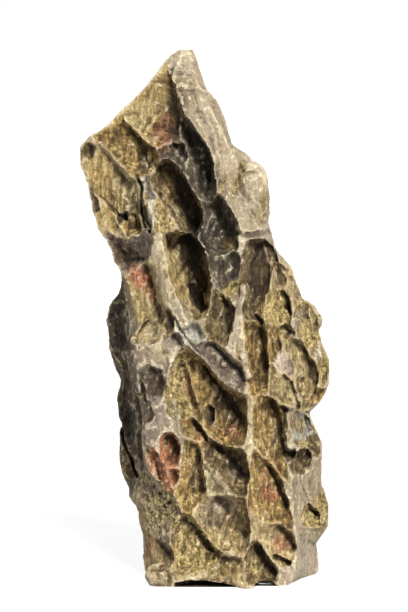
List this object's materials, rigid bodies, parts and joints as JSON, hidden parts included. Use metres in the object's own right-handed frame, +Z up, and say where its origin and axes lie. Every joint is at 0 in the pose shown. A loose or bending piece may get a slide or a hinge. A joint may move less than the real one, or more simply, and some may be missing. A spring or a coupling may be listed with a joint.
{
  "type": "dragon stone",
  "caption": "Upright natural stone with a leaning peak, its faces eroded into slanted undercut pits between thin pale ridges; stands on flat feet.",
  "frame": {"origin": "middle of the bounding box, on the ground that the feet rest on", "axes": "+Z up the stone's length, -Y towards the side with the long slot and the main cavity, +X to the right of it"},
  "size_m": [0.1416, 0.0954, 0.3011],
  "materials": {
    "stone": "matt, rough in the pits and smoother on the pale ridges"
  },
  "bodies": {
    "root": {"dragon_stone": "stone"}
  },
  "joints": []
}
